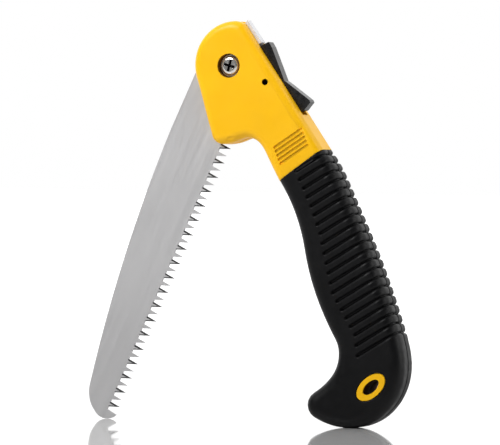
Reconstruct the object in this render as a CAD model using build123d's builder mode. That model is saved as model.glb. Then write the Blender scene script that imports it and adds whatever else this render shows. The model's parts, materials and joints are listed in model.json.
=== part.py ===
from build123d import *
import math
import os

os.makedirs("parts", exist_ok=True)

# ---------------------------------------------------------------- driving dimensions (mm)
PIVOT_X = -9.85          # pivot axis, measured in the part frame
PIVOT_Z = 206.39
LEAN_DEG = 0.32          # the saw stands on blade tip and butt, so the sketches lean this much
HEAD_HALF = 10.8         # half thickness of the yellow head
HEAD_RIM = 4.8           # rounding round its side faces
CORE_HALF = 9.7          # half thickness of the yellow core under the grip
GRIP_HALF = 12.0         # half thickness of the rubber grip
SLOT_HALF = 1.4          # half width of the blade slot
BLADE_HALF = 0.75        # half thickness of the blade
BLADE_LEAN = 24.4        # tooth line, degrees left of straight down
CLOSED_DEG = -43.0       # blade_fold travel from the pose as built
OPEN_DEG = 120.5
TANG_R = 15.5
TOOTH_PITCH = 4.61
TOOTH_COUNT = 38
FIRST_TOOTH = 44.7       # along the blade from the pivot
TOOTH_LINE = 17.4        # tooth tips, from the pivot axis line
TOOTH_HEIGHT = 6.4
TOOTH_BASE = 3.1
TOOTH_RAKE = 0.35        # tooth tip to heel corner, along the blade
TOOTH_GRIND = 1.5        # width that grinding takes off one side of a tooth at its root
NOSE_REACH = 220.9       # along the blade from the pivot to the end of its nose
SPINE_DIR = -54.9        # direction of the head's spine, degrees from +X
SPINE_OFF = 21.1         # spine line to pivot
BAR_HALF = 1.75          # half thickness of the lock bar
CAP_HALF = 2.9           # half width of the channel at its upper end
CAP_TOP = 22.0
SHEET = 1.0
LEVER_HALF = 3.4         # half width of the thumb lever
PIN_R = 1.9              # lock pin
PIN_HALF = 6.0
SLEEVE_R = 3.5
RECESS_R = 7.0           # screw recess in the head
RECESS_FLOOR = 5.8       # from the middle plane
WASHER_THICK = 0.8
WASHER_R = 6.4
PAN_HEAD = 2.9           # height of the pivot screw's head
PAN_R = 5.7
GROOVE_COUNT = 21
GROOVE_WIDTH = 2.1
GROOVE_LONG = 40.0
GROOVE_TILT = 31.0       # grooves run up towards the spine
GROOVE_TOP = (42.8, -60.2)   # finger end of the first and last groove
GROOVE_END = (81.5, -165.1)
EYE = (89.6, -182.9)     # lanyard eye, from the pivot
EYE_TURN = 40.0
EYE_LONG = 10.0
EYE_SHORT = 5.8
EYE_HOLE_LONG = 5.9
EYE_HOLE_SHORT = 3.1
PATCH = (37.2, -41.6)    # first of the five short grooves in the head
PATCH_LONG = 21.0
PATCH_STEP = (0.95, -2.3)
PATCH_TILT = 33.0
PATCH_SLOT = 1.8
PATCH_DEEP = 0.8
SCREW_SEAT = 6.0         # self-tapping screws sit this deep in the right half
SPRING_S = 39.0
SPRING_LOW = 9.6
SPRING_R = 2.2
SPRING_WIRE = 0.3
SPRING_TURNS = 5.0
RIVET_S = 30.0
RIVET_N = 18.15
RIVET_R = 0.8

COS_L = math.cos(math.radians(LEAN_DEG))
SIN_L = math.sin(math.radians(LEAN_DEG))
LEFT = Plane(origin=(PIVOT_X, 0, PIVOT_Z), x_dir=(COS_L, 0, SIN_L), z_dir=(0, -1, 0))


def unit(deg):
    return math.cos(math.radians(deg)), math.sin(math.radians(deg))


def frame_point(first, second, a, b):
    """Point a along the first direction and b along the second, from the pivot."""
    return a * first[0] + b * second[0], a * first[1] + b * second[1]


BLADE_ALONG = unit(-90 - BLADE_LEAN)
BLADE_TEETH = unit(-BLADE_LEAN)
SHUT_ALONG = unit(-90 - BLADE_LEAN - CLOSED_DEG)
SHUT_TEETH = unit(-BLADE_LEAN - CLOSED_DEG)
SPINE_ALONG = unit(SPINE_DIR)
SPINE_OUT = unit(SPINE_DIR + 90)


def blade_at(a, c):
    return frame_point(BLADE_ALONG, BLADE_TEETH, a, c)


def shut_at(a, c):
    return frame_point(SHUT_ALONG, SHUT_TEETH, a, c)


def spine_at(s, n):
    return frame_point(SPINE_ALONG, SPINE_OUT, s, n)


LOCK_PIN = spine_at(20.7, 13.1)
SCREWS = [(49.5, -43.5), (67.8, -98.2), (82.3, -146.1)]

# ---------------------------------------------------------------- outlines shared by the halves
BUTT = (74.1, -206.8)
# radius and turn of each arc, starting at the lowest point of the butt
FINGER_ARCS = [(41.9, -29.7), (8.4, -118.9), (38.9, 21.1), (20.4, 47.2), (15.2, 20.6),
               (181.0, -6.8), (143.9, -13.3), (106.2, 22.7)]
SPINE_ARCS = [(32.8, 48.9), (37.3, 44.0), (51.4, 13.8), (458.0, 7.7), (1297.9, 1.8),
              (72.0, 14.0)]


def arc_chain(start, heading, arcs, grow):
    """Tangent arcs one after another; grow is added to the radius of left turns."""
    pieces = []
    u, v = start
    for radius, turn in arcs:
        side = 1 if turn > 0 else -1
        size = radius + side * grow
        centre = (u - side * size * math.sin(math.radians(heading)),
                  v + side * size * math.cos(math.radians(heading)))
        knots = []
        for part_turn in (turn / 2, turn):
            angle = math.radians(heading + part_turn - side * 90)
            knots.append((centre[0] + size * math.cos(angle), centre[1] + size * math.sin(angle)))
        pieces.append(((u, v), knots[0], knots[1]))
        u, v = knots[1]
        heading += turn
    return pieces


def grip_chains(inset):
    bottom = (BUTT[0], BUTT[1] + inset)
    finger = arc_chain(bottom, 180.0, FINGER_ARCS, inset)
    spine = arc_chain(bottom, 0.0, SPINE_ARCS, -inset)
    return finger, spine


def grip_outline(inset=0.0):
    finger, spine = grip_chains(inset)
    for start, middle, end in finger + spine:
        ThreePointArc(start, middle, end)
    Line(spine[-1][2], finger[-1][2])


JOIN_FRONT = grip_chains(0.0)[0][-1][2]
JOIN_SPINE = grip_chains(0.0)[1][-1][2]


def head_outline():
    spine_top = spine_at(-15.0, SPINE_OFF - 0.8)
    Line(JOIN_FRONT, JOIN_SPINE)
    Line(JOIN_SPINE, spine_top)
    ThreePointArc(spine_top, (5.2, 25.3), (1.0, 25.8))
    ThreePointArc((1.0, 25.8), (-15.9, 17.6), (-22.3, 0.8))
    Spline((-22.3, 0.8), (-20.0, -10.5), (-15.2, -27.0), (-11.4, -39.5),
           tangents=[(0, -1), (0.3, -0.95)])
    ThreePointArc((-11.4, -39.5), (-8.8, -43.8), (-3.4, -45.0))
    Spline((-3.4, -45.0), (3.4, -43.7), (11.2, -41.4), (16.8, -43.2), (23.5, -52.4), JOIN_FRONT,
           tangents=[(1, 0.05), (0.5, -0.87)])


def blade_space(half):
    """The slot the blade sweeps through, open at the finger side and under the nose."""
    with BuildSketch(LEFT) as sweep_area:
        Circle(23.9)
        Polygon(shut_at(-60, 13.9), shut_at(42, 13.9), shut_at(42, 18.4), shut_at(217, 18.4),
                shut_at(221.2, 15.6), shut_at(240, 15.6), shut_at(240, -200), shut_at(-60, -200),
                align=None)
    extrude(sweep_area.sketch, amount=half, both=True, mode=Mode.SUBTRACT)


def lever_space():
    """Room for the lock bar, the thumb lever and its spring, open at the spine."""
    with BuildSketch(LEFT) as bar_room:
        Polygon(spine_at(-60, 16.6), spine_at(36, 16.6), spine_at(36, 30), spine_at(-60, 30),
                align=None)
        with Locations(LOCK_PIN):
            Circle(4.3)
        Polygon(spine_at(14.7, 12.8), spine_at(25.1, 12.8), spine_at(25.1, 20),
                spine_at(14.7, 20), align=None)
        Polygon(spine_at(-3, 15), spine_at(3, 15), spine_at(3, 20), spine_at(-3, 20), align=None)
    extrude(bar_room.sketch, amount=BAR_HALF + 0.3, both=True, mode=Mode.SUBTRACT)
    with BuildSketch(LEFT) as cap_room:
        Polygon(spine_at(-60, 16.4), spine_at(0.3, 16.4), spine_at(0.3, 30), spine_at(-60, 30),
                align=None)
    extrude(cap_room.sketch, amount=CAP_HALF + 0.3, both=True, mode=Mode.SUBTRACT)
    with BuildSketch(LEFT) as lever_room:
        Polygon(spine_at(-0.4, 16.0), spine_at(26.0, 14.6), spine_at(48.0, 13.2),
                spine_at(48.0, 30), spine_at(-0.4, 30), align=None)
    extrude(lever_room.sketch, amount=LEVER_HALF + 0.4, both=True, mode=Mode.SUBTRACT)
    with BuildSketch(LEFT) as spring_room:
        Polygon(spine_at(SPRING_S - 3.1, SPRING_LOW), spine_at(SPRING_S + 3.1, SPRING_LOW),
                spine_at(SPRING_S + 3.1, 15), spine_at(SPRING_S - 3.1, 15), align=None)
    extrude(spring_room.sketch, amount=3.1, both=True, mode=Mode.SUBTRACT)


def eye_drill(long_r, short_r, low, high):
    with BuildSketch(LEFT.offset(low)) as oval:
        with Locations(Location(EYE, EYE_TURN)):
            Ellipse(long_r, short_r)
    extrude(oval.sketch, amount=high - low, mode=Mode.SUBTRACT)


def drill(spots, radius, low, high):
    with BuildSketch(LEFT.offset(low)) as holes:
        with Locations(*spots):
            Circle(radius)
    extrude(holes.sketch, amount=high - low, mode=Mode.SUBTRACT)


def flip(solid):
    """The same solid on the other side of the saw."""
    return mirror(solid, about=Plane.XZ)


# ---------------------------------------------------------------- blocks the halves are cut from
with BuildPart() as core_block:
    for inset, depth in [(3.6, 6.0), (7.4, CORE_HALF)]:
        with BuildSketch(LEFT):
            with BuildLine():
                grip_outline(inset)
            make_face()
        extrude(amount=depth)
    with BuildSketch(LEFT):
        Polygon((33.8, -61.5), (52.4, -48.0), (56.0, -56.0), (39.5, -69.0), align=None)
    extrude(amount=CORE_HALF)

with BuildPart() as head_block:
    with BuildSketch(LEFT):
        with BuildLine():
            head_outline()
        make_face()
    extrude(amount=HEAD_HALF)
    head_rim = head_block.faces().sort_by(Axis.Y)[0].outer_wire().edges()
    join_mid = LEFT.from_local_coords(((JOIN_FRONT[0] + JOIN_SPINE[0]) / 2,
                                       (JOIN_FRONT[1] + JOIN_SPINE[1]) / 2, HEAD_HALF))
    fillet(head_rim.filter_by(lambda e: (e.center() - join_mid).length > 3), HEAD_RIM)

with BuildPart() as grip_block:
    with BuildSketch(LEFT):
        with BuildLine():
            grip_outline()
        make_face()
    extrude(amount=GRIP_HALF)
    grip_rim = grip_block.faces().sort_by(Axis.Y)[0].outer_wire().edges()
    fillet(grip_rim.filter_by(GeomType.CIRCLE), 7.0)

with BuildPart() as groove_floor:
    for inset, depth in [(1.5, 6.6), (2.3, 8.2), (3.6, 9.4), (5.4, 10.3)]:
        with BuildSketch(LEFT):
            with BuildLine():
                grip_outline(inset)
            make_face()
        extrude(amount=depth)

with BuildPart() as groove_comb:
    with BuildSketch(LEFT):
        for i in range(GROOVE_COUNT):
            t = i / (GROOVE_COUNT - 1)
            start_u = GROOVE_TOP[0] + t * (GROOVE_END[0] - GROOVE_TOP[0])
            start_v = GROOVE_TOP[1] + t * (GROOVE_END[1] - GROOVE_TOP[1])
            with Locations(Location((start_u, start_v), GROOVE_TILT)):
                with Locations((GROOVE_LONG / 2, 0)):
                    SlotOverall(GROOVE_LONG, GROOVE_WIDTH)
    extrude(amount=GRIP_HALF + 1)
    add(groove_floor.part, mode=Mode.SUBTRACT)


# spindle-shaped scoop above the head's lower lip
SCOOP = (2.6, -44.2)
SCOOP_TURN = 8.0
SCOOP_LONG = 9.5         # half length of the spindle
SCOOP_ROUND = 5.4        # largest radius of the spindle
SCOOP_CUT = 1.7
with BuildPart() as lip_scoop:
    scoop_line = Plane(origin=LEFT.from_local_coords((*SCOOP, HEAD_HALF + SCOOP_ROUND - SCOOP_CUT)),
                       x_dir=LEFT.x_dir.rotate(Axis.Y, -SCOOP_TURN), z_dir=(0, -1, 0))
    with BuildSketch(scoop_line):
        with BuildLine():
            ThreePointArc((-SCOOP_LONG, 0), (0, SCOOP_ROUND), (SCOOP_LONG, 0))
            Line((SCOOP_LONG, 0), (-SCOOP_LONG, 0))
        make_face()
    revolve(axis=Axis(scoop_line.origin, scoop_line.x_dir))


# ---------------------------------------------------------------- handle halves
def shell_half():
    with BuildPart() as half:
        add(head_block.part)
        add(core_block.part)
        with BuildSketch(LEFT):
            with Locations(Location(EYE, EYE_TURN)):
                Ellipse(EYE_LONG, EYE_SHORT)
        extrude(amount=GRIP_HALF)
        blade_space(SLOT_HALF)
        lever_space()
        eye_drill(EYE_HOLE_LONG, EYE_HOLE_SHORT, -1, 14)
        drill([(0, 0)], SLEEVE_R + 0.05, -1, 14)
        drill([(0, 0)], RECESS_R, RECESS_FLOOR, 14)
        drill([LOCK_PIN], PIN_R, -1, 14)
        with BuildSketch(LEFT.offset(HEAD_HALF)):
            for i in range(5):
                centre = (PATCH[0] + i * PATCH_STEP[0], PATCH[1] + i * PATCH_STEP[1])
                with Locations(Location(centre, PATCH_TILT)):
                    SlotOverall(PATCH_LONG, PATCH_SLOT)
        extrude(amount=-PATCH_DEEP, mode=Mode.SUBTRACT)
        add(lip_scoop.part, mode=Mode.SUBTRACT)
    return half.part


def grip_half():
    with BuildPart() as half:
        add(grip_block.part)
        add(core_block.part, mode=Mode.SUBTRACT)
        add(head_block.part, mode=Mode.SUBTRACT)
        add(groove_comb.part, mode=Mode.SUBTRACT)
        blade_space(SLOT_HALF)
        eye_drill(EYE_LONG + 0.35, EYE_SHORT + 0.35, -1, 14)
    return half.part


with BuildPart() as left_shell:
    add(shell_half())
    drill(SCREWS, 1.1, -1, 7.5)
left_shell.part.label = "left_shell"
export_step(left_shell.part, "parts/left_shell.step")

with BuildPart() as left_grip:
    add(grip_half())
left_grip.part.label = "left_grip"
export_step(left_grip.part, "parts/left_grip.step")

with BuildPart() as right_shell_plain:
    add(shell_half())
    drill(SCREWS, 1.75, -1, 14)
    drill(SCREWS, 3.2, SCREW_SEAT, 14)
with BuildPart() as right_shell:
    add(flip(right_shell_plain.part))
right_shell.part.label = "right_shell"
export_step(right_shell.part, "parts/right_shell.step")

with BuildPart() as right_grip_plain:
    add(grip_half())
    drill(SCREWS[1:], 3.4, 0, 14)
with BuildPart() as right_grip:
    add(flip(right_grip_plain.part))
right_grip.part.label = "right_grip"
export_step(right_grip.part, "parts/right_grip.step")


# ---------------------------------------------------------------- blade
TOOTH_ROOT = TOOTH_LINE - TOOTH_HEIGHT


def tooth_side(a, ground):
    """A tooth's outline on one side of the blade; the ground side is smaller, with parallel flanks."""
    size = 1 - ground / TOOTH_BASE
    heel = a - TOOTH_RAKE + 0.48 * ground
    return Polygon(blade_at(heel, TOOTH_ROOT),
                   blade_at(heel + TOOTH_RAKE * size, TOOTH_ROOT + TOOTH_HEIGHT * size),
                   blade_at(heel + TOOTH_BASE * size, TOOTH_ROOT), align=None)


with BuildPart() as ground_teeth:
    for i in range(TOOTH_COUNT - 1):
        left_grind, right_grind = (TOOTH_GRIND, 0) if i % 2 == 0 else (0, TOOTH_GRIND)
        with BuildSketch(LEFT.offset(BLADE_HALF)):
            tooth_side(FIRST_TOOTH + i * TOOTH_PITCH, left_grind)
        with BuildSketch(LEFT.offset(-BLADE_HALF)):
            tooth_side(FIRST_TOOTH + i * TOOTH_PITCH, right_grind)
        loft(ruled=True)

with BuildPart() as saw_blade:
    last_root = FIRST_TOOTH + (TOOTH_COUNT - 1) * TOOTH_PITCH - TOOTH_RAKE
    with BuildSketch(LEFT.offset(-BLADE_HALF)):
        with BuildLine():
            nose_tip = blade_at(last_root + 0.6, TOOTH_LINE + 0.2)
            Polyline(blade_at(11.0, 10.9), blade_at(FIRST_TOOTH - 1.5, TOOTH_ROOT),
                     blade_at(last_root, TOOTH_ROOT), nose_tip)
            ThreePointArc(nose_tip, blade_at(218.7, 15.3), blade_at(NOSE_REACH - 0.2, 11.4))
            ThreePointArc(blade_at(NOSE_REACH - 0.2, 11.4), blade_at(NOSE_REACH, 8.6),
                          blade_at(220.0, 5.4))
            Line(blade_at(220.0, 5.4), blade_at(217.8, 1.8))
            ThreePointArc(blade_at(217.8, 1.8), blade_at(213.5, -2.2), blade_at(206.8, -5.0))
            ThreePointArc(blade_at(206.8, -5.0), blade_at(118.0, -17.6), blade_at(50.0, -21.2))
            Polyline(blade_at(50.0, -21.2), blade_at(11.0, -20.8), blade_at(9.0, -18.5),
                     blade_at(9.0, -12.6))
            ThreePointArc(blade_at(9.0, -12.6), blade_at(-TANG_R, 0), blade_at(11.0, 10.9))
        make_face()
    extrude(amount=2 * BLADE_HALF)
    add(ground_teeth.part)
    with BuildSketch(LEFT.offset(-2)):
        for turn in (CLOSED_DEG, OPEN_DEG):
            with Locations(Location((0, 0), SPINE_DIR + 90 + turn)):
                with Locations((TANG_R, 0)):
                    Rectangle(4.4, 5.2)
        Circle(SLEEVE_R + 0.05)
    extrude(amount=4, mode=Mode.SUBTRACT)
saw_blade.part.label = "saw_blade"
export_step(saw_blade.part, "parts/saw_blade.step")


# ---------------------------------------------------------------- pivot hardware, from the left
def ring(name, outer, inner, low, high):
    with BuildPart() as washer:
        with BuildSketch(LEFT.offset(low)):
            Circle(outer)
            Circle(inner, mode=Mode.SUBTRACT)
        extrude(amount=high - low)
    washer.part.label = name
    export_step(washer.part, "parts/" + name + ".step")


ring("pivot_sleeve", SLEEVE_R, 2.6, -RECESS_FLOOR + 0.05, RECESS_FLOOR - 0.05)
ring("left_thrust_washer", 9.0, SLEEVE_R + 0.05, BLADE_HALF + 0.05, SLOT_HALF)
ring("right_thrust_washer", 9.0, SLEEVE_R + 0.05, -SLOT_HALF, -BLADE_HALF - 0.05)
WASHER_TOP = RECESS_FLOOR + WASHER_THICK
ring("screw_washer", WASHER_R, 2.6, RECESS_FLOOR, WASHER_TOP)
ring("nut_washer", WASHER_R, 2.6, -WASHER_TOP, -RECESS_FLOOR)

with BuildPart() as pivot_screw:
    with BuildSketch(LEFT.offset(-9.8)):
        Circle(2.5)
    extrude(amount=9.8 + WASHER_TOP)
    with BuildSketch(LEFT.offset(WASHER_TOP)):
        Circle(PAN_R)
    extrude(amount=PAN_HEAD)
    fillet(pivot_screw.faces().sort_by(Axis.Y)[0].outer_wire().edges(), 2.3)
    with BuildSketch(LEFT.offset(WASHER_TOP + PAN_HEAD)):
        for turn in (-16, 74):
            with Locations(Location((0, 0), turn)):
                Rectangle(7.0, 1.6)
    extrude(amount=-2.1, taper=14, mode=Mode.SUBTRACT)
pivot_screw.part.label = "pivot_screw"
export_step(pivot_screw.part, "parts/pivot_screw.step")

with BuildPart() as pivot_nut:
    with BuildSketch(LEFT.offset(-WASHER_TOP)):
        RegularPolygon(4.0, 6, major_radius=False)
        Circle(2.55, mode=Mode.SUBTRACT)
    extrude(amount=-4.0)
pivot_nut.part.label = "pivot_nut"
export_step(pivot_nut.part, "parts/pivot_nut.step")


# ---------------------------------------------------------------- lock
with BuildPart() as lock_pin:
    with BuildSketch(LEFT.offset(-PIN_HALF)):
        with Locations(LOCK_PIN):
            Circle(PIN_R)
    extrude(amount=2 * PIN_HALF)
lock_pin.part.label = "lock_pin"
export_step(lock_pin.part, "parts/lock_pin.step")

with BuildPart() as lock_bar:
    with BuildSketch(LEFT.offset(-BAR_HALF)):
        Polygon(spine_at(-8.0, 17.1), spine_at(-2.1, 17.1), spine_at(-2.0, 15.95),
                spine_at(2.0, 15.95), spine_at(2.1, 17.1), spine_at(34.0, 17.1),
                spine_at(34.0, 19.2), spine_at(-0.6, 19.2), spine_at(-1.2, CAP_TOP),
                spine_at(-8.0, CAP_TOP), align=None)
        Polygon(spine_at(16.1, 12.8), spine_at(23.7, 12.8), spine_at(23.7, 18),
                spine_at(16.1, 18), align=None)
        with Locations(LOCK_PIN):
            Circle(3.8)
            Circle(PIN_R + 0.05, mode=Mode.SUBTRACT)
        with Locations(spine_at(RIVET_S, RIVET_N)):
            Circle(RIVET_R, mode=Mode.SUBTRACT)
    extrude(amount=2 * BAR_HALF)
    with BuildSketch(LEFT.offset(-CAP_HALF)):
        Polygon(spine_at(-16.9, CAP_TOP), spine_at(-15.0, 17.4), spine_at(-1.2, 17.4),
                spine_at(-1.2, CAP_TOP), align=None)
    extrude(amount=2 * CAP_HALF)
    with BuildSketch(LEFT.offset(SHEET - CAP_HALF)):
        Polygon(spine_at(-20, 10), spine_at(-8.0, 10), spine_at(-8.0, CAP_TOP - SHEET),
                spine_at(-20, CAP_TOP - SHEET), align=None)
    extrude(amount=2 * (CAP_HALF - SHEET), mode=Mode.SUBTRACT)
lock_bar.part.label = "lock_bar"
export_step(lock_bar.part, "parts/lock_bar.step")

with BuildPart() as thumb_lever:
    with BuildSketch(LEFT.offset(-LEVER_HALF)):
        Polygon(spine_at(0.2, 17.6), spine_at(0.2, 20.8), spine_at(1.2, 25.9), spine_at(5.0, 25.7),
                spine_at(23.2, 21.6), spine_at(25.2, 21.1), spine_at(27.0, 21.9),
                spine_at(43.0, 27.4), spine_at(44.6, 27.2), spine_at(46.2, 21.4),
                spine_at(45.0, 17.6), align=None)
    extrude(amount=2 * LEVER_HALF)
    fillet(thumb_lever.edges().filter_by(Axis.Y), 0.35)
    with BuildSketch(LEFT):
        Polygon(spine_at(-1, 15), spine_at(34.2, 15), spine_at(34.2, 19.25), spine_at(-1, 19.25),
                align=None)
    extrude(amount=BAR_HALF + 0.02, both=True, mode=Mode.SUBTRACT)
    with BuildSketch(LEFT.offset(-5)):
        with Locations(spine_at(RIVET_S, RIVET_N)):
            Circle(RIVET_R)
    extrude(amount=10, mode=Mode.SUBTRACT)
thumb_lever.part.label = "thumb_lever"
export_step(thumb_lever.part, "parts/thumb_lever.step")

with BuildPart() as lever_rivet:
    with BuildSketch(LEFT.offset(-LEVER_HALF + 0.1)):
        with Locations(spine_at(RIVET_S, RIVET_N)):
            Circle(RIVET_R)
    extrude(amount=2 * (LEVER_HALF - 0.1))
lever_rivet.part.label = "lever_rivet"
export_step(lever_rivet.part, "parts/lever_rivet.step")

# compression spring: a round wire swept along a helix square to the spine
spring_foot = spine_at(SPRING_S, SPRING_LOW + SPRING_WIRE)
spring_axis = LEFT.x_dir * SPINE_OUT[0] + LEFT.y_dir * SPINE_OUT[1]
SPRING_HIGH = 17.55 - SPRING_LOW - 2 * SPRING_WIRE
with BuildPart() as lock_spring:
    with BuildLine():
        coil = Helix(pitch=SPRING_HIGH / SPRING_TURNS, height=SPRING_HIGH, radius=SPRING_R,
                     center=LEFT.from_local_coords((spring_foot[0], spring_foot[1], 0)),
                     direction=spring_axis)
    with BuildSketch(Plane(origin=coil @ 0, z_dir=coil % 0)):
        Circle(SPRING_WIRE)
    sweep()
lock_spring.part.label = "lock_spring"
export_step(lock_spring.part, "parts/lock_spring.step")


# ---------------------------------------------------------------- screws that close the handle
def shell_screw(name, spot):
    with BuildPart() as screw:
        with BuildSketch(LEFT.offset(-SCREW_SEAT)):
            with Locations(spot):
                Circle(1.05)
        extrude(amount=SCREW_SEAT + 7.0)
        with BuildSketch(LEFT.offset(-SCREW_SEAT)):
            with Locations(spot):
                Circle(2.9)
        extrude(amount=-1.8)
        with BuildSketch(LEFT.offset(-SCREW_SEAT - 1.8)):
            with Locations(Location(spot, 35)):
                Rectangle(3.4, 0.8)
                Rectangle(0.8, 3.4)
        extrude(amount=1.1, mode=Mode.SUBTRACT)
    screw.part.label = name
    export_step(screw.part, "parts/" + name + ".step")


shell_screw("shell_screw_upper", SCREWS[0])
shell_screw("shell_screw_middle", SCREWS[1])
shell_screw("shell_screw_butt", SCREWS[2])
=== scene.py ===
import math

import bmesh
import bpy
import json
import numpy as np
from mathutils import Matrix, Vector


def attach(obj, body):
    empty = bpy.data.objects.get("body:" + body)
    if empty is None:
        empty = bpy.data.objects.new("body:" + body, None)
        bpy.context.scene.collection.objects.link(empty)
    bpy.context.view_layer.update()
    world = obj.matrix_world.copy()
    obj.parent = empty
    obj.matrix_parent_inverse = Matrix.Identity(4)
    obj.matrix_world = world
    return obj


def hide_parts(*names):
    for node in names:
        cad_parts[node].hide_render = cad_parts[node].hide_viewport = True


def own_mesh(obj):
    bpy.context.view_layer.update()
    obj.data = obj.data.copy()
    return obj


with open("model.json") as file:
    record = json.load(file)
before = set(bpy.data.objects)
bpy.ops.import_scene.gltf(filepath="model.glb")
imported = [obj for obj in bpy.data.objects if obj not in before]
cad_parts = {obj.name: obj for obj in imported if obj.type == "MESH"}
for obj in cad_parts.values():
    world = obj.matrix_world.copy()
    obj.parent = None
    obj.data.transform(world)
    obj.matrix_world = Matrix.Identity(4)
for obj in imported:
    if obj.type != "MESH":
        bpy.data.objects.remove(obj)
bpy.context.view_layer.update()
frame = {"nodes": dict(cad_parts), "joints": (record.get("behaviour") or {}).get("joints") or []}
NODES = frame["nodes"]
MM = 0.001

# ---------------------------------------------------------------- where the saw is, from the frame
# The handle is drawn in millimetres from the blade's pivot: u to the right, v up. The drawing
# leans a little in the frame, by as much as the line from the pivot to the lock pin does.
JOINTS = {j["name"]: j for j in frame["joints"]}
PIVOT = Vector(JOINTS["blade_fold"]["pos_m"])
SCREW = (0, 0)
LOCK_PIN = (22.62, -9.40)
EYE = (89.6, -182.9)
PATCH = (39.1, -46.2)            # middle of the five short grooves in the head
# Each hole or hollow that gets painted shade: the radius of the painted shade, and the distance from
# the middle plane where it ends.
EYE_HOLE = (6.4, 11.1)
PIN_HOLE = (2.1, 10.4)
RECESS = (7.1, 10.3)
PATCH_FLOOR = (10.2, 10.8)
SCREW_CROSS = (3.3, 9.5)
GRIP_HALF = 12.0
BLADE_TURN = math.radians(-24.4)         # brushing runs along the blade and along the lock bar
STRIP_TURN = math.radians(-35.0)
SPINE_TURN = math.radians(-54.9)         # direction of the head's spine in the drawing
PIN_AWAY = Vector(JOINTS["lock_lever"]["pos_m"]) - PIVOT
LEAN = math.atan2(PIN_AWAY.z, PIN_AWAY.x) - math.atan2(LOCK_PIN[1], LOCK_PIN[0])
ALONG_U = Vector((math.cos(LEAN), 0, math.sin(LEAN)))
ALONG_V = Vector((-math.sin(LEAN), 0, math.cos(LEAN)))


def at(u, v, y=0.0):
    """A point of the handle drawing in the frame; y is in millimetres too."""
    return PIVOT + (ALONG_U * u + ALONG_V * v + Vector((0, y, 0))) * MM


# ---------------------------------------------------------------- materials
FADE_OUT = 0.3           # how softly the painted shade inside a hole ends, across the hole and along it
FADE_IN = 0.5
FLANK_LEAN = (0.80, 0.90)        # how far a face looks sideways: ground tooth flanks lie
FLANK_SQUARE = (0.10, 0.16)      # between edges, near 0, and the blade's sides, near 1


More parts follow.
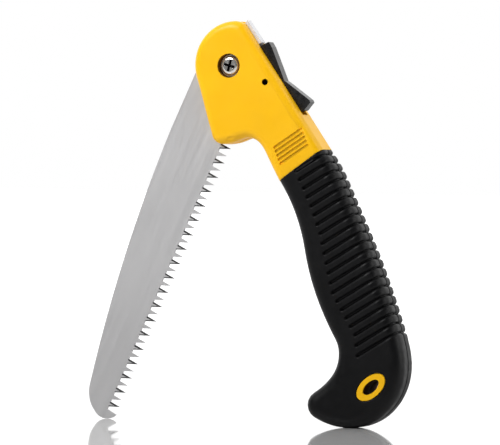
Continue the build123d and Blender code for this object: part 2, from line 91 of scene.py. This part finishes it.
class Nodes:
    """Short calls for building one material's nodes."""

    def __init__(self, name):
        self.material = bpy.data.materials.new(name)
        self.material.use_nodes = True
        self.tree = self.material.node_tree
        self.shader = self.tree.nodes["Principled BSDF"]
        self.coord = self.tree.nodes.new("ShaderNodeTexCoord")

    def put(self, **values):
        for key, value in values.items():
            self.shader.inputs[key.replace("_", " ")].default_value = value

    def link(self, a, b):
        self.tree.links.new(a, b)

    def noise(self, scale, detail=3.0, rough=0.5, stretch=None, turn=0.0):
        n = self.tree.nodes.new("ShaderNodeTexNoise")
        n.inputs["Scale"].default_value = scale
        n.inputs["Detail"].default_value = detail
        n.inputs["Roughness"].default_value = rough
        source = self.coord.outputs["Object"]
        if stretch is not None:
            turned = self.tree.nodes.new("ShaderNodeMapping")
            turned.vector_type = "POINT"
            turned.inputs["Rotation"].default_value = (0, turn, 0)
            self.link(source, turned.inputs["Vector"])
            scaled = self.tree.nodes.new("ShaderNodeMapping")
            scaled.inputs["Scale"].default_value = stretch
            self.link(turned.outputs["Vector"], scaled.inputs["Vector"])
            source = scaled.outputs["Vector"]
        self.link(source, n.inputs["Vector"])
        return n.outputs["Fac"]

    def spread(self, source, low, high, start=0.35, end=0.65):
        n = self.tree.nodes.new("ShaderNodeMapRange")
        n.inputs["From Min"].default_value = start
        n.inputs["From Max"].default_value = end
        n.inputs["To Min"].default_value = low
        n.inputs["To Max"].default_value = high
        self.link(source, n.inputs["Value"])
        return n.outputs["Result"]

    def colours(self, source, stops):
        n = self.tree.nodes.new("ShaderNodeValToRGB")
        ramp = n.color_ramp
        for i, (pos, colour) in enumerate(stops):
            e = ramp.elements[i] if i < 2 else ramp.elements.new(pos)
            e.position = pos
            e.color = (*colour, 1)
        self.link(source, n.inputs["Fac"])
        return n.outputs["Color"]

    def bump(self, sources):
        normal = None
        for source, strength, distance in sources:
            n = self.tree.nodes.new("ShaderNodeBump")
            n.inputs["Strength"].default_value = strength
            n.inputs["Distance"].default_value = distance
            self.link(source, n.inputs["Height"])
            if normal is not None:
                self.link(normal, n.inputs["Normal"])
            normal = n.outputs["Normal"]
        self.link(normal, self.shader.inputs["Normal"])

    def mix(self, factor, first, second):
        n = self.tree.nodes.new("ShaderNodeMix")
        n.data_type = "RGBA"
        self.link(factor, n.inputs[0])
        self.link(first, n.inputs[6])
        self.link(second, n.inputs[7])
        return n.outputs[2]

    def tunnel(self, spot, radius, depth):
        """1 within radius of a line through the handle and sunk below depth, as in a hole."""
        away = self.tree.nodes.new("ShaderNodeVectorMath")
        away.operation = "SUBTRACT"
        self.link(self.coord.outputs["Object"], away.inputs[0])
        away.inputs[1].default_value = at(*spot)
        split = self.tree.nodes.new("ShaderNodeSeparateXYZ")
        self.link(away.outputs[0], split.inputs[0])
        flat = self.tree.nodes.new("ShaderNodeCombineXYZ")
        self.link(split.outputs["X"], flat.inputs["X"])
        self.link(split.outputs["Z"], flat.inputs["Z"])
        reach = self.tree.nodes.new("ShaderNodeVectorMath")
        reach.operation = "LENGTH"
        self.link(flat.outputs[0], reach.inputs[0])
        near = self.spread(reach.outputs["Value"], 1.0, 0.0, radius * MM, (radius + FADE_OUT) * MM)
        thick = self.tree.nodes.new("ShaderNodeMath")
        thick.operation = "ABSOLUTE"
        self.link(split.outputs["Y"], thick.inputs[0])
        inside = self.spread(thick.outputs[0], 1.0, 0.0, (depth - FADE_IN) * MM, depth * MM)
        return self.times(near, inside)

    def times(self, first, second):
        n = self.tree.nodes.new("ShaderNodeMath")
        n.operation = "MULTIPLY"
        self.link(first, n.inputs[0])
        self.link(second, n.inputs[1])
        return n.outputs[0]

    def most(self, first, second):
        n = self.tree.nodes.new("ShaderNodeMath")
        n.operation = "MAXIMUM"
        self.link(first, n.inputs[0])
        self.link(second, n.inputs[1])
        return n.outputs[0]

    def side_faces(self):
        """1 where a face is neither square to the thickness nor edge on, as ground flanks are."""
        split = self.tree.nodes.new("ShaderNodeSeparateXYZ")
        self.link(self.coord.outputs["Normal"], split.inputs[0])
        size = self.tree.nodes.new("ShaderNodeMath")
        size.operation = "ABSOLUTE"
        self.link(split.outputs["Y"], size.inputs[0])
        lean = self.spread(size.outputs[0], 1.0, 0.0, *FLANK_LEAN)
        square = self.spread(size.outputs[0], 0.0, 1.0, *FLANK_SQUARE)
        return self.times(lean, square)


def yellow_plastic():
    m = Nodes("yellow_plastic")
    m.put(Metallic=0.0, IOR=1.46, Specular_IOR_Level=0.3)
    tone = m.noise(60.0, 3.0)
    plain = m.colours(tone, [(0.3, (0.95, 0.505, 0.003)), (0.7, (0.99, 0.54, 0.004))])
    # painted shade: near-black brown inside the hanging hole and the lock pin hole, where shadow
    # falls
    painted_hole_shade = m.colours(tone, [(0.3, (0.030, 0.008, 0.002)), (0.7, (0.050, 0.014, 0.003))])
    # painted shade: darker olive yellow on the floors of the five short grooves in the head
    painted_groove_shade = m.colours(tone, [(0.3, (0.74, 0.44, 0.003)), (0.7, (0.80, 0.48, 0.004))])
    # painted shade: dark brown on the walls of the pivot screw's recess, where shadow falls
    painted_recess_shade = m.colours(tone, [(0.3, (0.20, 0.075, 0.003)), (0.7, (0.25, 0.095, 0.004))])
    deep = m.most(m.tunnel(EYE, *EYE_HOLE), m.tunnel(LOCK_PIN, *PIN_HOLE))
    recess = m.tunnel(SCREW, *RECESS)
    patch = m.tunnel(PATCH, *PATCH_FLOOR)
    face = m.mix(recess, m.mix(patch, plain, painted_groove_shade), painted_recess_shade)
    m.link(m.mix(deep, face, painted_hole_shade), m.shader.inputs["Base Color"])
    rough = m.spread(m.noise(160.0, 4.0), 0.36, 0.44)
    m.link(m.most(rough, m.spread(deep, 0.0, 0.95, 0.0, 1.0)), m.shader.inputs["Roughness"])
    m.bump([(m.noise(2600.0, 2.0), 0.12, 0.00006), (m.noise(90.0, 2.0), 0.04, 0.0006)])
    return m.material


def black_rubber():
    m = Nodes("black_rubber")
    m.put(Metallic=0.0, IOR=1.45, Specular_IOR_Level=0.22)
    m.link(m.colours(m.noise(120.0, 4.0), [(0.3, (0.0022, 0.0022, 0.0026)),
                                           (0.7, (0.0038, 0.0038, 0.0044))]),
           m.shader.inputs["Base Color"])
    m.link(m.spread(m.noise(300.0, 4.0), 0.40, 0.52), m.shader.inputs["Roughness"])
    m.bump([(m.noise(3400.0, 2.0), 0.25, 0.00005), (m.noise(150.0, 3.0), 0.05, 0.0004)])
    return m.material


def blade_steel():
    """Satin steel; the ground flanks of the teeth, which face neither side, are painted near black:
    a painted reflection of the dark room.
    """
    m = Nodes("blade_steel")
    m.put(Metallic=0.45, Specular_IOR_Level=0.3)
    fine = m.noise(900.0, 3.0, 0.6, stretch=(1.0, 1.0, 0.02), turn=BLADE_TURN)
    broad = m.noise(14.0, 3.0, 0.5)
    satin = m.colours(broad, [(0.3, (0.54, 0.535, 0.54)), (0.7, (0.60, 0.595, 0.60))])
    # painted reflection: the ground flanks are real, and their near-black colour stands in for the
    # dark room they reflect
    ground = m.colours(m.noise(2600.0, 2.0), [(0.3, (0.02, 0.02, 0.022)), (0.7, (0.05, 0.05, 0.05))])
    m.link(m.mix(m.side_faces(), satin, ground), m.shader.inputs["Base Color"])
    m.link(m.spread(fine, 0.36, 0.48), m.shader.inputs["Roughness"])
    m.bump([(fine, 0.10, 0.00003), (m.noise(1800.0, 2.0), 0.08, 0.00002)])
    return m.material


def bright_steel():
    m = Nodes("bright_steel")
    m.put(Metallic=0.3)
    fine = m.noise(1400.0, 3.0, 0.6, stretch=(1.0, 1.0, 0.05), turn=STRIP_TURN)
    m.link(m.colours(fine, [(0.3, (0.70, 0.70, 0.72)), (0.7, (0.78, 0.78, 0.80))]),
           m.shader.inputs["Base Color"])
    m.link(m.spread(fine, 0.38, 0.46), m.shader.inputs["Roughness"])
    m.bump([(fine, 0.05, 0.00001)])
    return m.material


def lever_black():
    m = Nodes("lever_black")
    m.put(Metallic=0.0, IOR=1.6, Specular_IOR_Level=0.4)
    m.link(m.colours(m.noise(200.0, 3.0), [(0.3, (0.004, 0.004, 0.005)),
                                           (0.7, (0.007, 0.007, 0.008))]),
           m.shader.inputs["Base Color"])
    m.link(m.spread(m.noise(400.0, 3.0), 0.24, 0.34), m.shader.inputs["Roughness"])
    m.bump([(m.noise(3800.0, 2.0), 0.2, 0.00004)])
    return m.material


def plated_steel():
    m = Nodes("plated_steel")
    m.put(Metallic=0.85)
    plate = m.colours(m.noise(500.0, 3.0), [(0.3, (0.70, 0.68, 0.65)), (0.7, (0.88, 0.86, 0.83))])
    # painted shade: near black deep in the cross of the screw head, where shadow falls
    painted_cross_shade = m.colours(m.noise(500.0, 3.0), [(0.3, (0.02, 0.018, 0.02)), (0.7, (0.04, 0.036, 0.04))])
    m.link(m.mix(m.tunnel(SCREW, *SCREW_CROSS), plate, painted_cross_shade), m.shader.inputs["Base Color"])
    m.link(m.spread(m.noise(900.0, 3.0), 0.14, 0.26), m.shader.inputs["Roughness"])
    m.bump([(m.noise(1500.0, 2.0), 0.06, 0.00003)])
    return m.material


def zinc_steel():
    m = Nodes("zinc_steel")
    m.put(Metallic=0.9)
    m.link(m.colours(m.noise(300.0, 4.0), [(0.3, (0.70, 0.66, 0.55)), (0.7, (0.86, 0.82, 0.72))]),
           m.shader.inputs["Base Color"])
    m.link(m.spread(m.noise(700.0, 3.0), 0.25, 0.4), m.shader.inputs["Roughness"])
    m.bump([(m.noise(1500.0, 2.0), 0.08, 0.00003)])
    return m.material


def black_oxide():
    m = Nodes("black_oxide")
    m.put(Metallic=0.8)
    m.link(m.colours(m.noise(600.0, 3.0), [(0.3, (0.015, 0.015, 0.016)),
                                           (0.7, (0.035, 0.035, 0.037))]),
           m.shader.inputs["Base Color"])
    m.link(m.spread(m.noise(900.0, 3.0), 0.35, 0.5), m.shader.inputs["Roughness"])
    m.bump([(m.noise(1800.0, 2.0), 0.1, 0.00003)])
    return m.material


def nylon():
    m = Nodes("nylon")
    m.put(Metallic=0.0, Subsurface_Weight=0.2, Subsurface_Scale=0.002)
    m.link(m.colours(m.noise(300.0, 3.0), [(0.3, (0.72, 0.69, 0.60)), (0.7, (0.80, 0.78, 0.70))]),
           m.shader.inputs["Base Color"])
    m.link(m.spread(m.noise(500.0, 3.0), 0.4, 0.5), m.shader.inputs["Roughness"])
    m.bump([(m.noise(2500.0, 2.0), 0.1, 0.00003)])
    return m.material


MATERIALS = {
    "yellow": yellow_plastic(), "rubber": black_rubber(), "blade": blade_steel(),
    "bright": bright_steel(), "lever": lever_black(), "plated": plated_steel(),
    "zinc": zinc_steel(), "oxide": black_oxide(), "nylon": nylon(),
}

NODE_FINISH = {
    "left_shell": "yellow", "right_shell": "yellow", "left_grip": "rubber", "right_grip": "rubber",
    "saw_blade": "blade", "pivot_screw": "plated", "pivot_nut": "plated", "pivot_sleeve": "zinc",
    "screw_washer": "zinc", "nut_washer": "zinc", "left_thrust_washer": "nylon",
    "right_thrust_washer": "nylon", "lock_bar": "bright", "thumb_lever": "lever",
    "lever_rivet": "zinc", "lock_pin": "oxide", "lock_spring": "zinc",
    "shell_screw_upper": "oxide", "shell_screw_middle": "oxide", "shell_screw_butt": "oxide",
}
SOFT_EDGE = {"left_shell": 0.25, "right_shell": 0.25, "lock_bar": 0.12, "pivot_screw": 0.1,
             "pivot_nut": 0.15}          # rounding of the sharp edges
SOFT_EDGE_FROM = math.radians(35)        # edges sharper than this are rounded
WELD = 0.00001


def finish_nodes():
    for name, finish in NODE_FINISH.items():
        node = NODES[name]
        for i in range(len(node.data.materials)):
            node.data.materials[i] = MATERIALS[finish]
        if not node.data.materials:
            node.data.materials.append(MATERIALS[finish])
        if name in SOFT_EDGE:
            weld = node.modifiers.new("weld", "WELD")
            weld.merge_threshold = WELD
            bevel = node.modifiers.new("soft_edge", "BEVEL")
            bevel.width = SOFT_EDGE[name] * MM
            bevel.segments = 2
            bevel.limit_method = "ANGLE"
            bevel.angle_limit = SOFT_EDGE_FROM
            bevel.harden_normals = True


# ---------------------------------------------------------------- rubber grips
# The grip's outline is a chain of tangent arcs from the lowest point of the butt, each given
# as its radius and turn; the chain on the finger side and the one on the spine side.
BUTT = (74.1, -206.8)
FINGER_ARCS = [(41.9, -29.7), (8.4, -118.9), (38.9, 21.1), (20.4, 47.2), (15.2, 20.6),
               (181.0, -6.8), (143.9, -13.3), (106.2, 22.7)]
SPINE_ARCS = [(32.8, 48.9), (37.3, 44.0), (51.4, 13.8), (458.0, 7.7), (1297.9, 1.8), (72.0, 14.0)]
ARC_STEP = 3.0           # longest chord along the outline
GRIP_RIM = 7.0           # rounding from the side face to the edge
RIM_STEPS = 10
SEAM_GAP = 0.12                          # each grip stops short of the middle plane
SEAM_ROUND = 0.45
CORE_STEPS = [(3.6, 6.0), (7.4, 9.7)]    # inset and depth of the yellow core inside
CORE_AHEAD = (-9, 16)                    # the core runs on into the head by this much
SLOT_HALF = 1.4                          # half the width of the closed blade's slot
SHUT_TURN = 18.6         # the way the closed blade's teeth face
# The slot's outline: how far along the closed blade, and how far out towards its teeth.
SLOT_EDGE = [(40, -60), (40, 18.7), (217.2, 18.7), (221.5, 15.9), (245, 15.9), (245, -60)]
EYE_TURN = 40.0
EYE_AXES = (10.35, 6.25)                 # half axes of the opening round the hanging hole
SCREW_SPOTS = [(67.8, -98.2), (82.3, -146.1)]
SCREW_HOLE = 3.4
GRIP_VOXEL = 0.4                         # the plain grip is made even and eased before ribbing
SMOOTH_FACTOR = 0.5
SMOOTH_ROUNDS = 2
FACE_SKIN = 0.6                          # depth below the side face and the rim that ribs move
RIM_SKIN = 1.2


def arc_points(heading, arcs, inset, grow):
    """Points along tangent arcs; grow is added to the radius of left turns."""
    u, v = BUTT[0], BUTT[1] + inset
    points = []
    for radius, turn in arcs:
        side = 1 if turn > 0 else -1
        size = radius + side * grow
        cu = u - side * size * math.sin(math.radians(heading))
        cv = v + side * size * math.cos(math.radians(heading))
        count = max(2, math.ceil(radius * math.radians(abs(turn)) / ARC_STEP))
        for k in range(1, count + 1):
            angle = math.radians(heading + turn * k / count - side * 90)
            points.append((cu + size * math.cos(angle), cv + size * math.sin(angle)))
        u, v = points[-1]
        heading += turn
    return points


def grip_ring(inset=0.0):
    """The grip's outline, from its front end down round the butt and up the spine."""
    finger = arc_points(180.0, FINGER_ARCS, inset, inset)
    spine = arc_points(0.0, SPINE_ARCS, inset, -inset)
    return finger[::-1] + [(BUTT[0], BUTT[1] + inset)] + spine


def drawn_mesh(name, rings, y_values):
    """A closed solid through rings of drawing points; meshes are in millimetres until placed."""
    bm = bmesh.new()
    loops = [[bm.verts.new((u, y, v)) for u, v in ring] for ring, y in zip(rings, y_values)]
    for low_ring, high_ring in zip(loops, loops[1:]):
        count = len(low_ring)
        for k in range(count):
            bm.faces.new((low_ring[k], low_ring[(k + 1) % count],
                          high_ring[(k + 1) % count], high_ring[k]))
    bm.faces.new(loops[0])
    bm.faces.new(loops[-1])
    bmesh.ops.recalc_face_normals(bm, faces=bm.faces)
    mesh = bpy.data.meshes.new(name)
    bm.to_mesh(mesh)
    bm.free()
    piece = bpy.data.objects.new(name, mesh)
    bpy.context.scene.collection.objects.link(piece)
    return piece


def round_ring(centre, long_r, short_r, turn=0.0, count=40):
    c, s = math.cos(math.radians(turn)), math.sin(math.radians(turn))
    points = []
    for k in range(count):
        a = 2 * math.pi * k / count
        x, y = long_r * math.cos(a), short_r * math.sin(a)
        points.append((centre[0] + x * c - y * s, centre[1] + x * s + y * c))
    return points


def shut_at(reach, out):
    """A drawing point from its place along the closed blade and out towards its teeth."""
    c, s = math.cos(math.radians(SHUT_TURN)), math.sin(math.radians(SHUT_TURN))
    return (out * c + reach * s, out * s - reach * c)


def prism(name, ring, y_low, y_high):
    return drawn_mesh(name, [ring, ring], [y_low, y_high])


def grip_block():
    """Half a grip without ribs, on the right side of the saw, before its cut-outs."""
    rings, depths = [grip_ring(SEAM_ROUND), grip_ring(0.0)], [SEAM_GAP, SEAM_GAP + SEAM_ROUND]
    for k in range(RIM_STEPS + 1):
        angle = math.pi / 2 * k / RIM_STEPS
        rings.append(grip_ring(GRIP_RIM * (1 - math.cos(angle))))
        depths.append(GRIP_HALF - GRIP_RIM + GRIP_RIM * math.sin(angle))
    return drawn_mesh("grip_block", rings, depths)


def baked(piece):
    """The piece's mesh with its modifiers applied; the piece itself is removed."""
    graph = bpy.context.evaluated_depsgraph_get()
    mesh = bpy.data.meshes.new_from_object(piece.evaluated_get(graph))
    bpy.data.objects.remove(piece)
    return mesh


def cut(piece, cutters):
    for cutter in cutters:
        mod = piece.modifiers.new("cut", "BOOLEAN")
        mod.operation = "DIFFERENCE"
        mod.solver = "EXACT"
        mod.object = cutter
    mesh = baked(piece)
    for cutter in cutters:
        bpy.data.objects.remove(cutter)
    return mesh


# Grooves are counted from the head down; RIB_STARTS has how far along its own direction some of
# them start, and those between follow.
RIB_COUNT = 21
RIB_TILT = 31.0
RIB_FIRST = -73.6                # the first groove, across the way the grooves run
RIB_PITCH = 5.49
RIB_STARTS = [(0, 5.7), (4, 3.7), (7, 0.4), (13, -10.2), (18, -10.4), (20, -15.2)]
RIB_WIDEN = (4.0, 24.0)          # a groove changes from this far along, over this length
RIB_DEPTH = (1.9, 1.6)           # groove depth at the finger end and at the spine
RIB_WIDTH = (1.5, 2.1)           # half width of a groove at the same two ends
RIB_FLOOR = (0.75, 0.25)         # half width of its floor at the same two ends
RIB_CROWN = 0.15                 # how far the ribs stand out at the spine


def smooth_step(x):
    x = np.clip(x, 0, 1)
    return x * x * (3 - 2 * x)


def rib_depth(u, v):
    """How deep the grooves between the ribs are at points of the drawing, below 0 on a crown."""
    tilt = math.radians(RIB_TILT)
    across = math.cos(tilt) * v - math.sin(tilt) * u
    along = math.cos(tilt) * u + math.sin(tilt) * v
    t = (RIB_FIRST - across) / RIB_PITCH
    index = np.clip(np.round(t), 0, RIB_COUNT - 1)
    q = np.abs(t - index) * RIB_PITCH
    s = along - np.interp(index, *np.transpose(RIB_STARTS))
    dist = np.where(s < 0, np.hypot(s, q), q)
    widen = smooth_step((s - RIB_WIDEN[0]) / RIB_WIDEN[1])
    width, depth, floor = [a + (b - a) * widen for a, b in (RIB_WIDTH, RIB_DEPTH, RIB_FLOOR)]
    crown = RIB_CROWN * widen * smooth_step((RIB_PITCH - q) / (RIB_PITCH / 2))
    x = np.clip((dist - floor) / (width - floor), 0, 1)
    return (depth + crown) * (1 - np.sqrt(1 - (1 - x) ** 2)) - crown


def grip_inset(depth):
    """How far in from the outline the plain grip's surface is at a depth."""
    rise = np.clip((depth - (GRIP_HALF - GRIP_RIM)) / GRIP_RIM, 0, 1)
    return GRIP_RIM * (1 - np.sqrt(1 - rise ** 2))


def outline_distance(u, v, ring):
    """Distance from each point to the outline."""
    a = np.array(ring)
    b = np.roll(a, -1, axis=0)
    step = b - a
    best = np.full(len(u), 1e9)
    for (au, av), (du, dv) in zip(a, step):
        along = np.clip(((u - au) * du + (v - av) * dv) / (du * du + dv * dv), 0, 1)
        best = np.minimum(best, np.hypot(u - au - along * du, v - av - along * dv))
    return best


def grip_piece(side, screw_holes):
    """One rubber grip with its moulded ribs; side is -1 for the left one and 1 for the right."""
    slot_ring = [shut_at(*spot) for spot in SLOT_EDGE]
    cutters = [prism("slot", slot_ring, -1, SLOT_HALF),
               prism("eye", round_ring(EYE, *EYE_AXES, EYE_TURN), -1, GRIP_HALF + 1)]
    for inset, depth in CORE_STEPS:
        ring = grip_ring(inset)
        ends = [(u + CORE_AHEAD[0], v + CORE_AHEAD[1]) for u, v in (ring[0], ring[-1])]
        ring = [ends[0]] + ring + [ends[1]]
        cutters.append(prism("core", ring, -1, depth))
    if screw_holes:
        for spot in SCREW_SPOTS:
            cutters.append(prism("screw", round_ring(spot, SCREW_HOLE, SCREW_HOLE), -1,
                                 GRIP_HALF + 1))
    piece = bpy.data.objects.new("grip_plain", cut(grip_block(), cutters))
    bpy.context.scene.collection.objects.link(piece)
    remesh = piece.modifiers.new("remesh", "REMESH")
    remesh.mode = "VOXEL"
    remesh.voxel_size = GRIP_VOXEL
    smooth = piece.modifiers.new("smooth", "SMOOTH")
    smooth.factor = SMOOTH_FACTOR
    smooth.iterations = SMOOTH_ROUNDS
    mesh = baked(piece)
    count = len(mesh.vertices)
    place = np.empty(count * 3)
    normal = np.empty(count * 3)
    mesh.vertices.foreach_get("co", place)
    mesh.vertex_normals.foreach_get("vector", normal)
    place, normal = place.reshape(-1, 3), normal.reshape(-1, 3)
    u, y, v = place.T
    inset = outline_distance(u, v, grip_ring(0.0))
    outer = (y > GRIP_HALF - FACE_SKIN) | (inset < grip_inset(y) + RIM_SKIN)
    place -= normal * (rib_depth(u, v) * outer)[:, None]
    y = place[:, 1] * side
    world = (np.array(PIVOT)[None, :] + (np.outer(place[:, 0], ALONG_U)
             + np.outer(place[:, 2], ALONG_V) + np.outer(y, (0, 1, 0))) * MM)
    mesh.vertices.foreach_set("co", world.ravel())
    if side < 0:
        mesh.flip_normals()
    mesh.update()
    for polygon in mesh.polygons:
        polygon.use_smooth = True
    name = ("left" if side < 0 else "right") + "_ribbed_grip"
    mesh.name = name
    grip = bpy.data.objects.new(name, mesh)
    bpy.context.scene.collection.objects.link(grip)
    mesh.materials.append(MATERIALS["rubber"])
    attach(grip, "handle")
    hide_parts(("left" if side < 0 else "right") + "_grip")


# ---------------------------------------------------------------- spring under the thumb lever
SPRING_ALONG = 39.0                      # the spring's axis, along the spine
SPRING_REACH = (9.9, 17.2)               # its two ends, out towards the spine
SPRING_R = 2.2
SPRING_WIRE = 0.3
SPRING_TURNS = 5
TURN_STEPS = 24
WIRE_SIDES = 10


def spring_piece():
    """A coil with closed ends, under the thumb lever."""
    out = Vector((-math.sin(SPINE_TURN), 0, math.cos(SPINE_TURN)))
    side = Vector((math.cos(SPINE_TURN), 0, math.sin(SPINE_TURN)))
    y_dir = Vector((0, 1, 0))
    bm = bmesh.new()
    loops = []
    count = SPRING_TURNS * TURN_STEPS
    for i in range(count + 1):
        angle = 2 * math.pi * i / TURN_STEPS
        outward = side * math.cos(angle) + y_dir * math.sin(angle)
        rise = SPRING_REACH[0] + (SPRING_REACH[1] - SPRING_REACH[0]) * i / count
        centre = side * SPRING_ALONG + out * rise + outward * SPRING_R
        loop = []
        for k in range(WIRE_SIDES):
            a = 2 * math.pi * k / WIRE_SIDES
            spot = centre + (outward * math.cos(a) + out * math.sin(a)) * SPRING_WIRE
            loop.append(bm.verts.new(at(spot.x, spot.z, spot.y)))
        loops.append(loop)
    for low_loop, high_loop in zip(loops, loops[1:]):
        for k in range(WIRE_SIDES):
            bm.faces.new((low_loop[k], low_loop[(k + 1) % WIRE_SIDES],
                          high_loop[(k + 1) % WIRE_SIDES], high_loop[k]))
    bm.faces.new(loops[0])
    bm.faces.new(loops[-1])
    bmesh.ops.recalc_face_normals(bm, faces=bm.faces)
    mesh = bpy.data.meshes.new("lever_spring")
    bm.to_mesh(mesh)
    bm.free()
    for polygon in mesh.polygons:
        polygon.use_smooth = len(polygon.vertices) == 4
    spring = bpy.data.objects.new("lever_spring", mesh)
    bpy.context.scene.collection.objects.link(spring)
    mesh.materials.append(MATERIALS["zinc"])
    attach(spring, "handle")
    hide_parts("lock_spring")
    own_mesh(spring)


# ---------------------------------------------------------------- floor, lights and camera
FRONT_LEVEL = 0.03       # what shiny faces see on the near side of the room and on the far side
BACK_LEVEL = 1.6
ROOM_TURN = (-0.3, 0.5)          # the room goes from one level to the other over this
FLOOR_GLOW = 0.22                # the floor fades to white away from the saw
FLOOR_GLOW_REACH = (0.25, 1.2)
LIGHT_AIM = (0, 0, 0.11)
KEY_PLACE, KEY_SIZE, KEY_POWER = (-0.50, -0.85, 1.05), (0.6, 0.6), 18.0
RIM_PLACE, RIM_SIZE, RIM_POWER = (1.0, 0.05, 0.45), (0.35, 0.9), 3.5


def area_light(name, place, size, power):
    data = bpy.data.lights.new(name, "AREA")
    data.shape = "RECTANGLE"
    data.size, data.size_y = size
    data.energy = power
    lamp = bpy.data.objects.new(name, data)
    lamp.location = place
    lamp.rotation_euler = (Vector(LIGHT_AIM) - Vector(place)).to_track_quat("-Z", "Y").to_euler()
    bpy.context.scene.collection.objects.link(lamp)


def studio():
    bpy.ops.mesh.primitive_plane_add(size=60, location=(0, 0, 0))
    floor = bpy.context.object
    floor.name = "floor"
    m = Nodes("floor_white")
    m.link(m.colours(m.noise(3.0, 2.0), [(0.3, (0.64, 0.64, 0.64)), (0.7, (0.66, 0.66, 0.66))]),
           m.shader.inputs["Base Color"])
    m.put(Roughness=0.05, IOR=1.6)
    m.shader.inputs["Emission Color"].default_value = (1, 1, 1, 1)
    reach = m.tree.nodes.new("ShaderNodeVectorMath")
    reach.operation = "LENGTH"
    m.link(m.coord.outputs["Object"], reach.inputs[0])
    m.link(m.spread(reach.outputs["Value"], 0.0, FLOOR_GLOW, *FLOOR_GLOW_REACH),
           m.shader.inputs["Emission Strength"])
    floor.data.materials.append(m.material)
    world_light()
    area_light("key", KEY_PLACE, KEY_SIZE, KEY_POWER)
    area_light("rim", RIM_PLACE, RIM_SIZE, RIM_POWER)
    bpy.context.scene.view_settings.view_transform = "Standard"


def world_light():
    """A white room that is darker on the near side, with a plain white backdrop."""
    world = bpy.data.worlds.new("studio")
    world.use_nodes = True
    tree = world.node_tree
    backdrop = tree.nodes["Background"]
    backdrop.inputs["Color"].default_value = (1, 1, 1, 1)
    backdrop.inputs["Strength"].default_value = 1.0
    room = tree.nodes.new("ShaderNodeBackground")
    coord = tree.nodes.new("ShaderNodeTexCoord")
    split = tree.nodes.new("ShaderNodeSeparateXYZ")
    level = tree.nodes.new("ShaderNodeMapRange")
    level.interpolation_type = "SMOOTHSTEP"
    level.inputs["From Min"].default_value = ROOM_TURN[0]
    level.inputs["From Max"].default_value = ROOM_TURN[1]
    level.inputs["To Min"].default_value = FRONT_LEVEL
    level.inputs["To Max"].default_value = BACK_LEVEL
    path = tree.nodes.new("ShaderNodeLightPath")
    mix = tree.nodes.new("ShaderNodeMixShader")
    tree.links.new(coord.outputs["Generated"], split.inputs[0])
    tree.links.new(split.outputs["Y"], level.inputs["Value"])
    tree.links.new(level.outputs["Result"], room.inputs["Strength"])
    tree.links.new(path.outputs["Is Camera Ray"], mix.inputs["Fac"])
    tree.links.new(room.outputs[0], mix.inputs[1])
    tree.links.new(backdrop.outputs[0], mix.inputs[2])
    tree.links.new(mix.outputs[0], tree.nodes["World Output"].inputs["Surface"])
    bpy.context.scene.world = world


CAMERA_AZIMUTH = math.radians(22.0)
CAMERA_ELEVATION = math.radians(0.5)
CAMERA_ROLL = math.radians(0.55)
CAMERA_DISTANCE = 2600.0
CAMERA_AIM = (9.97, -90.23)             # u and v in the handle drawing
CAMERA_LENS = 324.4


def camera():
    """Stands square to the handle drawing, so it leans as the drawing does."""
    data = bpy.data.cameras.new("camera")
    data.lens = CAMERA_LENS
    data.sensor_width = 36.0
    data.clip_start, data.clip_end = 0.1, 100.0
    cam = bpy.data.objects.new("camera", data)
    bpy.context.scene.collection.objects.link(cam)
    back = Vector((math.sin(CAMERA_AZIMUTH) * math.cos(CAMERA_ELEVATION),
                   -math.cos(CAMERA_AZIMUTH) * math.cos(CAMERA_ELEVATION),
                   math.sin(CAMERA_ELEVATION)))
    right = (-back).cross(Vector((0, 0, 1))).normalized()
    up = right.cross(-back)
    rolled_right = right * math.cos(CAMERA_ROLL) + up * math.sin(CAMERA_ROLL)
    rolled_up = up * math.cos(CAMERA_ROLL) - right * math.sin(CAMERA_ROLL)
    turn = Matrix((rolled_right, rolled_up, back)).transposed().to_4x4()
    place = Vector((CAMERA_AIM[0], 0, CAMERA_AIM[1])) + back * CAMERA_DISTANCE
    lean = Matrix((ALONG_U, Vector((0, 1, 0)), ALONG_V)).transposed().to_4x4()
    cam.matrix_world = Matrix.Translation(at(place.x, place.z, place.y)) @ lean @ turn
    bpy.context.scene.camera = cam


finish_nodes()
grip_piece(-1, screw_holes=False)
grip_piece(1, screw_holes=True)
spring_piece()
studio()
camera()
